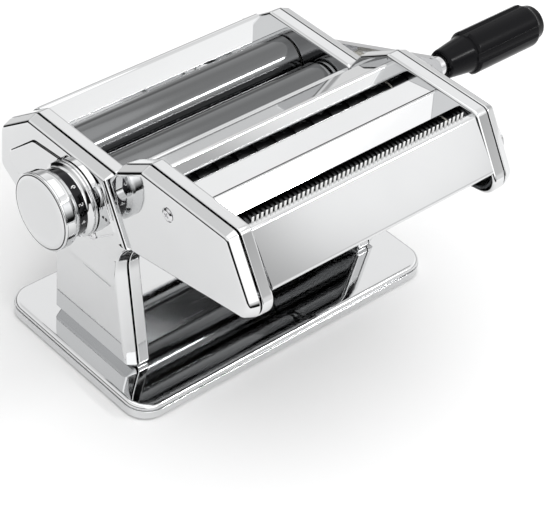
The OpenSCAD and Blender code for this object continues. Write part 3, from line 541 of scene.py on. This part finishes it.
head_cover, pod_cover = cover(HEAD, legs=True), cover(POD)
head_panel = raised(PANEL, FACE - 0.05, PANEL_FACE, width=1.9)
left_head = sheet("head_cover_left", flip_x(head_cover), "frame", ["left_end_cover"], bevel=COVER_BEVEL)
left_panel = sheet("head_panel_left", flip_x(head_panel), "frame", bevel=PANEL_BEVEL)
right_head = sheet("head_cover_right", head_cover, "frame", ["right_end_cover"], bevel=COVER_BEVEL)
right_panel = sheet("head_panel_right", head_panel, "frame", bevel=PANEL_BEVEL)
left_pod = sheet("pod_cover_left", flip_x(pod_cover), "cutter", ["cutter_left_cover"], bevel=COVER_BEVEL)
right_pod = sheet("pod_cover_right", pod_cover, "cutter", ["cutter_right_cover"], bevel=COVER_BEVEL)

knob_hole = flip_x(through(KNOB, KNOB_HOLE_D))
right_holes = [through(ROLL, ROLLER_HOLE_D), through(KNOB, REGULATOR_HOLE_D)]
cut(left_head, knob_hole)
cut(left_panel, knob_hole, flip_x(panel_notch(*LEFT_SCREWS[1])), flip_x(well(*LEFT_SCREWS[0])))
cut(right_head, *right_holes, well(*RIGHT_SCREWS[0]))
cut(right_panel, *right_holes, well(*RIGHT_SCREWS[1]))
cut(right_pod, *[through(p, SOCKET_HOLE_D) for p in SOCKETS], *[well(*p) for p in POD_RIGHT_SCREWS])
cut(left_pod, flip_x(well(*POD_LEFT_SCREWS[0])), dimple())
sheet("leg_step_left", flip_x(leg_step()), "frame", sharp=80)


# ---------------------------------------------------------------- cover screws and pointer
DOT, DOT_R = (-9.7, 100.8), 1.0


def pan_screw(y, z, x):
    """Pan head on a thin ring."""
    r = SCREW_D / 2
    prof = [(x - SCREW_LAP, 0, 0), (x - SCREW_LAP, r, 0), (x + SCREW_RING, r, 0.15),
            (x + 2 * SCREW_RING, r - 0.35, 0.1), (x + SCREW_H - 0.05, 2.6, 1.2), (x + SCREW_H, 0, 0)]
    return lathe(rounded(prof, 5), (y, z), 48)


def cross(y, z, x, turn=20, reach=2.15, half=0.5):
    """Four-armed star that narrows with depth, to be cut into a screw head."""
    def star(depth, scale):
        pts = []
        for i in range(4):
            a = math.radians(turn + 90 * i)
            for u, v in ((reach, -half * 0.8), (reach, half * 0.8), (half, half)):
                pts.append((depth, y + scale * (u * math.cos(a) - v * math.sin(a)),
                            z + scale * (u * math.sin(a) + v * math.cos(a))))
        return pts
    return loft([star(x + 0.3, 0.55), star(x + 1.6, 1.05)])


def screws(name, left, right, body, node):
    """Screw heads with crosses, on the left and the right face."""
    heads = join(*[flip_x(pan_screw(*p)) for p in left], *[pan_screw(*p) for p in right])
    obj = piece(name, heads, body, BRIGHT, [node], 40, 0.06)
    cut(obj, *[flip_x(cross(*p)) for p in left], *[cross(*p) for p in right])


def pointer_dot():
    """Flat dark dot beside the knob, where the setting is read."""
    x0, x1, x2 = PANEL_FACE - 0.2, PANEL_FACE + 0.04, PANEL_FACE + 0.06
    return flip_x(lathe([(x0, 0), (x0, DOT_R), (x1, DOT_R), (x2, DOT_R - 0.1), (x2, 0)], DOT, 32))


screws("cover_screw_heads", LEFT_SCREWS, RIGHT_SCREWS, "frame", "end_cover_screws")
screws("pod_screw_heads", POD_LEFT_SCREWS, POD_RIGHT_SCREWS, "cutter", "cutter_cover_screws")
piece("pointer_dot", pointer_dot(), "frame", DARK)


# ---------------------------------------------------------------- flanged side plates
FLANGE_GAP = 0.2


def flanged(corners):
    """Side plate with a flange round it. The flange stops short of the cover, so that a joint shows."""
    end = FLANGE_END - FLANGE_GAP
    prof = rounded([(PLATE_OUT, PLATE_T + 0.7, 0), (PLATE_OUT, PLATE_T, 0.5), (end, PLATE_T, 0.2),
                    (end, 0, 0.5), (PLATE_IN, 0, 1.7), (PLATE_IN, 4, 0)], 6)
    rings = [(PLATE_OUT, PLATE_T + 0.8)] + prof
    return loft([[(x, y, z) for y, z in outline(corners, inset)] for x, inset in rings])


for tag, corners, body, node in (("side", HEAD, "frame", "{}_side_plate"),
                                 ("pod", POD, "cutter", "cutter_{}_plate")):
    plate = flanged(corners)
    sheet(f"{tag}_plate_left", flip_x(plate), body, [node.format("left")])
    sheet(f"{tag}_plate_right", plate, body, [node.format("right")])


# ---------------------------------------------------------------- bent sheets between the plates
SLANT_LOW, SLANT_HIGH = (-27.5, 89.5), (-6.5, 125.0)
SLANT = math.dist(SLANT_LOW, SLANT_HIGH)


def on_slant(out, up):
    """Place beside the head's slanted front edge: out in front of it, and up along it."""
    c, s = (SLANT_HIGH[0] - SLANT_LOW[0]) / SLANT, (SLANT_HIGH[1] - SLANT_LOW[1]) / SLANT
    return (SLANT_LOW[0] + up * c - out * s, SLANT_LOW[1] + up * s + out * c)


GUARD_LOW, GUARD_TOP = on_slant(-3.6, 1), on_slant(-3.6, SLANT - 1)
REAR_LOW, REAR_TOP = on_slant(4.3, 2), on_slant(4.3, SLANT - 2)
GUARD_T, POD_T = 1.2, 1
ROOF = [(-79, 136.8, 1), (-70.4, 145, 0.8), (-53.5, 143.6, 1.4), (-51, 139.6, 1)]
# corners, thickness, body
SHEETS = {
    "rear_guard": ([(57.6, 109.6, 1), (68, 119.2, 2.5), (71.5, 114.4, 2), (80.6, 104.4, 5), (80.6, 86, 2),
                    (77.6, 83.4, 1)], GUARD_T, "frame"),
    "front_guard": ([(0.8, 115.2, 1), (*GUARD_TOP, 1.6), (*GUARD_LOW, 2),
                     (GUARD_LOW[0] + 5, GUARD_LOW[1] - 3, 1)], GUARD_T, "frame"),
    "cutter_front_panel": ([(-95.2, 141.6, 1), (-95.2, 145.0, 0.9), (-98.7, 145.3, 1.9), (-117.4, 120, 1.5),
                            (-114.6, 118.4, 1)], POD_T, "cutter"),
    "cutter_roof": (ROOF, POD_T, "cutter"),
    "cutter_rear_panel": ([(-40, 137, 1), (-35.6, 143.4, 1.4), (-17.6, 132.8, 2), (*REAR_TOP, 2),
                           (*REAR_LOW, 2), (REAR_LOW[0] - 6, REAR_LOW[1] + 1.5, 1)], POD_T, "cutter"),
}
for name, (path, thickness, body) in SHEETS.items():
    sheet(name + "_sheet", extruded(bent(path, thickness), -PLATE_IN, PLATE_IN), body, [name])


def roof_painted_shadow(start=0.56, width=0.8, depth=0.25, lift=0.05):
    """Thin dark strip across the roof's top, just behind its front fold: a painted shadow line, with no gap
    cut.
    """
    (ya, za), (yb, zb) = ROOF[1][:2], ROOF[2][:2]
    u = _unit((yb - ya, zb - za))
    n = _left(u)
    section = []
    for k, h in ((start, -depth), (start + width, -depth), (start + width, lift), (start, lift)):
        out = POD_T / 2 + h
        section.append((ya + u[0] * k + n[0] * out, za + u[1] * k + n[1] * out))
    return extruded(section, -PLATE_IN + 0.3, PLATE_IN - 0.3)


# ---------------------------------------------------------------- feed comb
COMB_Y, COMB_T, COMB_L = -94.55, 0.4, 150.0
COMB_LOW, STRIP_TOP, TOOTH_TOP = 139.6, 144.2, 147.7
TEETH, TOOTH_PITCH, TOOTH_W = 49, 3.0, 1.3


def comb_teeth(overlap=0.4, chamfer=0.1):
    """Feed comb behind the front fold: a back strip and a row of short upright teeth."""
    y0, y1 = COMB_Y, COMB_Y + COMB_T
    strip = [(y0, COMB_LOW), (y1, COMB_LOW), (y1, STRIP_TOP), (y0, STRIP_TOP)]
    root, shoulder = STRIP_TOP - overlap, TOOTH_TOP - chamfer
    tooth = [(y0, root), (y1, root), (y1, shoulder), (y1 - chamfer, TOOTH_TOP), (y0 + chamfer, TOOTH_TOP),
             (y0, shoulder)]
    parts = [extruded(strip, -COMB_L / 2, COMB_L / 2)]
    for i in range(TEETH):
        x = (i - (TEETH - 1) / 2) * TOOTH_PITCH
        parts.append(extruded(tooth, x - TOOTH_W / 2, x + TOOTH_W / 2))
    return join(*parts)


piece("feed_comb_teeth", comb_teeth(), "cutter", COMB, ["feed_comb"], 40)
# dark strip behind the roof's front fold: a painted shadow line
piece("roof_painted_shadow", roof_painted_shadow(), "cutter", DARK, sharp=30)


# ---------------------------------------------------------------- base tray
TRAY_L, TRAY_W, TRAY_R, TRAY_RIM = 212, 120, 14, 2.9
TRAY_LOW, RIM_TOP, DECK_LOW, DECK_UNDER, TRAY_TOP = 1, 6.0, 6.8, 8.4, 9.6
GROOVE_D, DECK_INSET, DECK_R = 1.5, 0.3, 2.6


def base_tray():
    """Tray with a rim, a groove over it and a rounded deck, open underneath."""
    plan = [(x * TRAY_L / 2, y * TRAY_W / 2, TRAY_R) for x, y in ((-1, -1), (1, -1), (1, 1), (-1, 1))]

    def rings(heights):
        return [[(x, y, z) for x, y in outline(plan, inset, 12)] for z, inset in heights]

    outside = rounded([(TRAY_LOW, TRAY_RIM, 0), (TRAY_LOW, 0, 0.6), (RIM_TOP, 0, 0.5),
                       (RIM_TOP, GROOVE_D, 0.1), (DECK_LOW, GROOVE_D, 0.1), (DECK_LOW, DECK_INSET, 0.5),
                       (TRAY_TOP, DECK_INSET, DECK_R), (TRAY_TOP, 6, 0)])
    inside = [(DECK_UNDER, TRAY_RIM), (TRAY_LOW, TRAY_RIM)]
    return join(loft(rings(outside), cap_start=False), loft(rings(inside), cap_end=False))


sheet("base_shell", base_tray(), "frame", ["base_tray"])


# ---------------------------------------------------------------- sheeting rollers
ROLLER_R, ROLLER_EDGE = 14, 0.6
DRIVE_END, JOURNAL_END, JOURNAL_R = 76.3, -80.5, 5
SLEEVE_END, SLEEVE_R = 91.6, 7
SOCKET_END, SOCKET_R, SOCKET_MOUTH_R, SOCKET_CHAMFER = 68, 4.6, 5.02, 1.2
ADJUST_END, NECK_END, NECK_R, BORE_R = 73.6, 86.4, 10, 7.1


def drive_barrel():
    """Roller with a journal at the left and the crank's socket at the right."""
    prof = [(JOURNAL_END, 0, 0), (JOURNAL_END, JOURNAL_R, 0.5), (-DRIVE_END, JOURNAL_R, 0),
            (-DRIVE_END, ROLLER_R, ROLLER_EDGE), (DRIVE_END, ROLLER_R, ROLLER_EDGE), (DRIVE_END, SLEEVE_R, 0),
            (SLEEVE_END, SLEEVE_R, 0.6), (SLEEVE_END, SOCKET_MOUTH_R, 0),
            (SLEEVE_END - SOCKET_CHAMFER, SOCKET_R, 0), (SOCKET_END, SOCKET_R, 0), (SOCKET_END, 0, 0)]
    return lathe(rounded(prof, 4), ROLL)


def adjustable_barrel():
    """Roller with a bore for the eccentric shaft and a neck for its gear."""
    prof = [(-ADJUST_END, BORE_R, 0), (-ADJUST_END, ROLLER_R, ROLLER_EDGE),
            (ADJUST_END, ROLLER_R, ROLLER_EDGE), (ADJUST_END, NECK_R, 0), (NECK_END, NECK_R, 0),
            (NECK_END, BORE_R, 0)]
    return lathe(rounded(prof, 4), REST, closed=True)


for name, barrel in (("drive_roller", drive_barrel()), ("adjustable_roller", adjustable_barrel())):
    piece(name + "_barrel", barrel, name, ROLLER_IN_PAINTED_SHADE, [name])


# ---------------------------------------------------------------- knob
KNOB_SEG = 144
KNOB_BACK, KNOB_R, RING_R = 96.6, 21.6, 20.9
CAP_EDGE, CAP_BEND = (117.2, KNOB_R), (118.15, 18.6)
KNOB_SIDE = rounded([
    (KNOB_BACK, 11, 0), (KNOB_BACK, RING_R, 0.4), (KNOB_BACK + 1.3, RING_R, 0.4),
    (KNOB_BACK + 1.3, 20.1, 0.1), (KNOB_BACK + 1.9, 20.1, 0.1), (KNOB_BACK + 1.9, 20.8, 0.3),
    (KNOB_BACK + 2.9, 20.7, 0.5), (KNOB_BACK + 4.4, 18.6, 2.4), (KNOB_BACK + 9.0, 18.1, 7),
    (110.4, 21.5, 5), (116.1, KNOB_R, 0.05), (116.1, 21.2, 0), (116.4, 21.2, 0), (116.4, KNOB_R, 0.05),
    (*CAP_EDGE, 0.6), (*CAP_BEND, 1.0), (117.75, 15.4, 2.0), (117.7, 0, 0)], 9)
BAND_X, BAND_W, BAND_LIFT = 104.4, 5.6, 0.03
DIGITS, FIRST_DEG, STEP_DEG, DIGIT_H = 6, 270, 30, 4.2
# the digits stand off the band: at 0.07 to 0.25 they didn't show in the render
DIGIT_LIFT = 0.55


def turned_knob(profile, closed=False):
    """Profile turned about the knob's axis, at the left."""
    return lathe(profile, KNOB, KNOB_SEG, closed, sx=-1)


def knob_r(x):
    """Radius of the knob's waist at x."""
    for (xa, ra), (xb, rb) in zip(KNOB_SIDE, KNOB_SIDE[1:]):
        if xa < xb and xa <= x <= xb:
            return ra + (rb - ra) * (x - xa) / (xb - xa)
    raise ValueError(f"the knob has no side at x = {x}")


def knob_band(steps=14, depth=0.1):
    """Thin dark band in the knob's waist, where the digits sit: a painted dark reflection."""
    xs = [BAND_X - BAND_W / 2 + BAND_W * i / steps for i in range(steps + 1)]
    face = [(x, knob_r(x) + BAND_LIFT) for x in xs]
    (x0, r0), (x1, r1) = face[0], face[-1]
    return turned_knob([(x0, r0 - depth), *face, (x1, r1 - depth)], closed=True)


def cap_seam(start=0.28, end=0.5, lift=0.03, depth=0.2):
    """Thin dark joint between the knob and its cap, on the chamfer. start and end are shares of its width."""
    (xa, ra), (xb, rb) = CAP_EDGE, CAP_BEND
    nx, nr = _unit((ra - rb, xb - xa))
    line = [(xa + (xb - xa) * k, ra + (rb - ra) * k) for k in (start, end)]
    corners = zip(line + line[::-1], (lift, lift, -depth, -depth))
    return turned_knob([(x + nx * h, r + nr * h) for (x, r), h in corners], closed=True)


def digit(text, angle):
    """A digit bent round the knob's waist."""
    curve = bpy.data.curves.new(f"digit_{text}", "FONT")
    curve.body = text
    curve.size = DIGIT_H
    curve.align_x = "CENTER"
    curve.align_y = "CENTER"
    flat = bpy.data.objects.new(f"flat_{text}", curve)
    bpy.context.scene.collection.objects.link(flat)
    bpy.context.view_layer.update()
    mesh = bpy.data.meshes.new_from_object(flat.evaluated_get(bpy.context.evaluated_depsgraph_get()))
    bpy.data.objects.remove(flat)
    bm = bmesh.new()
    bm.from_mesh(mesh)
    bmesh.ops.triangulate(bm, faces=bm.faces)
    bmesh.ops.subdivide_edges(bm, edges=bm.edges, cuts=2, use_grid_fill=True)
    verts = []
    for v in bm.verts:
        x = BAND_X + v.co.y
        r = knob_r(x) + DIGIT_LIFT
        a = math.radians(angle) + v.co.x / r
        verts.append((-x, KNOB[0] + r * math.cos(a), KNOB[1] + r * math.sin(a)))
    faces = [tuple(v.index for v in f.verts) for f in bm.faces]
    bm.free()
    return verts, faces


piece("knob_shell", turned_knob(KNOB_SIDE), "knob", KNOB_CHROME,
      ["thickness_knob", "knob_cap"], 50)
piece("knob_cap_seam", cap_seam(), "knob", DARK, sharp=40)
# the waist band is a painted dark reflection, with the printed digits on it
piece("knob_painted_reflection_band", knob_band(), "knob", PAINTED_REFLECTION_BAND, sharp=40)
marks = [digit(str(i + 1), FIRST_DEG - i * STEP_DEG) for i in range(DIGITS)]
dial = piece("knob_digits", join(*marks), "knob", INK, sharp=80)
# open faces without thickness need no weighted normals
dial.modifiers.clear()
dial.data.shade_flat()


# ---------------------------------------------------------------- grip
GRIP_SEG = 192
RIB_R, RIB_TURN, RIB_HALF, RIB_FADE = 12.45, 30, 32.5, 2.2
RIB_START, RIB_RISE, RIB_END, RIB_FALL = 18.4, 0.9, GRIP_L - 8.2, 1.4
MOUTH_D, MOUTH_R, PIN_R = 4.8, 6.5, 3.6


def grip_r(x, r, degrees):
    """Radius of the grip, r between the four ribs and RIB_R on them."""
    along = clamp((x - RIB_START) / RIB_RISE) * clamp((RIB_END - x) / RIB_FALL)
    off = (degrees - RIB_TURN + 45) % 90 - 45
    across = smooth(clamp((RIB_HALF - abs(off)) / RIB_FADE))
    return r + max(0.0, RIB_R - r) * along * across


def grip():
    """Tapered neck, body with four broad raised ribs, rounded far end."""
    prof = rounded([(0, 6.6, 0), (0, 8.0, 0.5), (1.2, 8.5, 0.6), (17.5, 10.5, 1.0), (18.6, 11.0, 0.6),
                    (GRIP_L - 9, 11.3, 3), (GRIP_L - 3, 9.8, 3), (GRIP_L, 6.0, 3), (GRIP_L, 0.4, 0)], 6)
    stations = []
    for (xa, ra), (xb, rb) in zip(prof, prof[1:]):
        k = max(1, int(abs(xb - xa)))
        stations += [(xa + (xb - xa) * j / k, ra + (rb - ra) * j / k) for j in range(k)]
    stations.append(prof[-1])
    angles = [360 * i / GRIP_SEG for i in range(GRIP_SEG)]
    rings = [[(GRIP_X + MOUTH_D, y, z) for y, z in circle(GRIP, r, GRIP_SEG)] for r in (PIN_R, MOUTH_R)]
    for x, r in stations:
        ring = []
        for angle in angles:
            a, ribbed = math.radians(angle), grip_r(x, r, angle)
            ring.append((GRIP_X + x, GRIP[0] + ribbed * math.cos(a), GRIP[1] + ribbed * math.sin(a)))
        rings.append(ring)
    return loft(rings)


piece("grip_body", grip(), "grip", BLACK, ["crank_grip"], 60)


# ---------------------------------------------------------------- studio, in metres
FLOOR_LEFT, FLOOR_RIGHT, FLOOR_FRONT, FLOOR_BACK = -0.75, 2.2, -0.42, 0.37
PAPER, PAPER_ROUGH = (0.88, 0.88, 0.88), 0.9


def paper_floor():
    """Plain pale floor. Its edges are where the chrome starts to mirror the sky."""
    corners = [(FLOOR_LEFT, FLOOR_FRONT, 0), (FLOOR_RIGHT, FLOOR_FRONT, 0), (FLOOR_RIGHT, FLOOR_BACK, 0),
               (FLOOR_LEFT, FLOOR_BACK, 0)]
    mesh = bpy.data.meshes.new("floor")
    mesh.from_pydata(corners, [], [(0, 1, 2, 3)])
    floor = bpy.data.objects.new("floor", mesh)
    bpy.context.scene.collection.objects.link(floor)
    paper, _, shader = new_material("paper")
    shader.inputs["Base Color"].default_value = (*PAPER, 1)
    shader.inputs["Roughness"].default_value = PAPER_ROUGH
    mesh.materials.append(paper)


def sky(tree, height, stops):
    """Brightness by height over the horizon."""
    node = tree.nodes.new("ShaderNodeValToRGB")
    tree.links.new(height, node.inputs["Fac"])
    while len(node.color_ramp.elements) < len(stops):
        node.color_ramp.elements.new(0.5)
    for e, (p, v) in zip(node.color_ramp.elements, stops):
        e.position = p
        e.color = (v, v, v, 1)
    return node.outputs["Color"]


def towards(tree, view, direction, start, full, outside, inside):
    """Soft patch round a direction. start and full are cosines of the angle to it."""
    dot = tree.nodes.new("ShaderNodeVectorMath")
    dot.operation = "DOT_PRODUCT"
    tree.links.new(view, dot.inputs[0])
    dot.inputs[1].default_value = Vector(direction).normalized()
    return spread(tree, dot.outputs["Value"], start, full, outside, inside, "SMOOTHSTEP")


# (sine of the height, brightness)
LEFT_SKY = [(0.0, 0.008), (0.13, 0.01), (0.20, 0.4), (0.30, 0.8), (0.46, 1.3), (0.66, 1.2), (0.78, 1.0),
            (1.0, 0.9)]
RIGHT_SKY = [(0.0, 0.95), (0.14, 0.8), (0.24, 0.56), (0.36, 0.56), (0.47, 1.4), (0.66, 1.25), (0.78, 1.0),
             (1.0, 0.9)]
# direction, cosines where the patch starts and is full, and the values outside and inside it
NARROW_GLOW = ((0.61, -0.72, 0.345), 0.9958, 0.9997, 0.0, 0.66)
WIDE_GLOW = ((-0.2, -0.9, 0.35), 0.85, 0.97, 0.0, 0.9)
RIGHT_HALF = ((0.9, 0.1, 0.0), -0.1, 0.3, 0.0, 1.0)
BACK_SHADE = ((0, 1, 0.3), 0.2, 0.7, 1.0, 0.87)


def studio_world():
    """Sky for the chrome to mirror, dark near the horizon at the left. The camera itself sees white."""
    world = bpy.data.worlds.new("studio")
    bpy.context.scene.world = world
    world.use_nodes = True
    tree = world.node_tree
    view = tree.nodes.new("ShaderNodeTexCoord").outputs["Generated"]
    split = tree.nodes.new("ShaderNodeSeparateXYZ")
    tree.links.new(view, split.inputs["Vector"])
    height = split.outputs["Z"]
    left, right = sky(tree, height, LEFT_SKY), sky(tree, height, RIGHT_SKY)
    total = mix(tree, "RGBA", towards(tree, view, *RIGHT_HALF), left, right)
    for glow in (NARROW_GLOW, WIDE_GLOW):
        total = maths(tree, "ADD", total, towards(tree, view, *glow))
    total = maths(tree, "MULTIPLY", total, towards(tree, view, *BACK_SHADE))
    camera_ray = tree.nodes.new("ShaderNodeLightPath").outputs["Is Camera Ray"]
    background = tree.nodes["Background"]
    connect(tree, mix(tree, "FLOAT", camera_ray, total, 1.0), background.inputs["Strength"])
    background.inputs["Color"].default_value = (1, 1, 1, 1)


def softbox(name, at, look, size, power):
    """Rectangular light at a place, turned to another."""
    light = bpy.data.lights.new(name, "AREA")
    light.shape = "RECTANGLE"
    light.size, light.size_y = size
    light.energy = power
    o = bpy.data.objects.new(name, light)
    o.location = at
    o.rotation_euler = (Vector(look) - Vector(at)).to_track_quat("-Z", "Y").to_euler()
    bpy.context.scene.collection.objects.link(o)


paper_floor()
studio_world()
softbox("key", at=(0.95, -1.1, 1.2), look=(0, 0, 0.1), size=(0.5, 0.12), power=7)
softbox("top", at=(0.0, 0.0, 2.2), look=(0, 0, 0.1), size=(2.6, 2.6), power=14)

# ---------------------------------------------------------------- camera, fitted to the photograph's edges
CAMERA = (-642.518, -672.984, 796.059)
AZIMUTH, ELEVATION, ROLL_DEG = -45.4834, 39.7151, 5.7006
FOCAL_PX, PHOTO_W, SENSOR = 2170.76, 550, 36


def add_camera():
    """Camera at the photograph's viewing angle."""
    cam = bpy.data.cameras.new("camera")
    cam.sensor_width = SENSOR
    cam.lens = FOCAL_PX * SENSOR / PHOTO_W
    cam.clip_start = 0.01
    a, e, roll = math.radians(AZIMUTH), math.radians(ELEVATION), math.radians(ROLL_DEG)
    forward = Vector((-math.sin(a) * math.cos(e), math.cos(a) * math.cos(e), -math.sin(e)))
    level = forward.cross(Vector((0, 0, 1))).normalized()
    below = forward.cross(level)
    right = math.cos(roll) * level - math.sin(roll) * below
    down = math.sin(roll) * level + math.cos(roll) * below
    turn = Matrix((right, -down, -forward)).transposed()
    obj = bpy.data.objects.new("camera", cam)
    bpy.context.scene.collection.objects.link(obj)
    obj.matrix_world = Matrix.Translation(Vector(CAMERA) * MM) @ turn.to_4x4()
    bpy.context.scene.camera = obj


add_camera()
bpy.context.scene.view_settings.view_transform = "Standard"

bpy.context.view_layer.update()
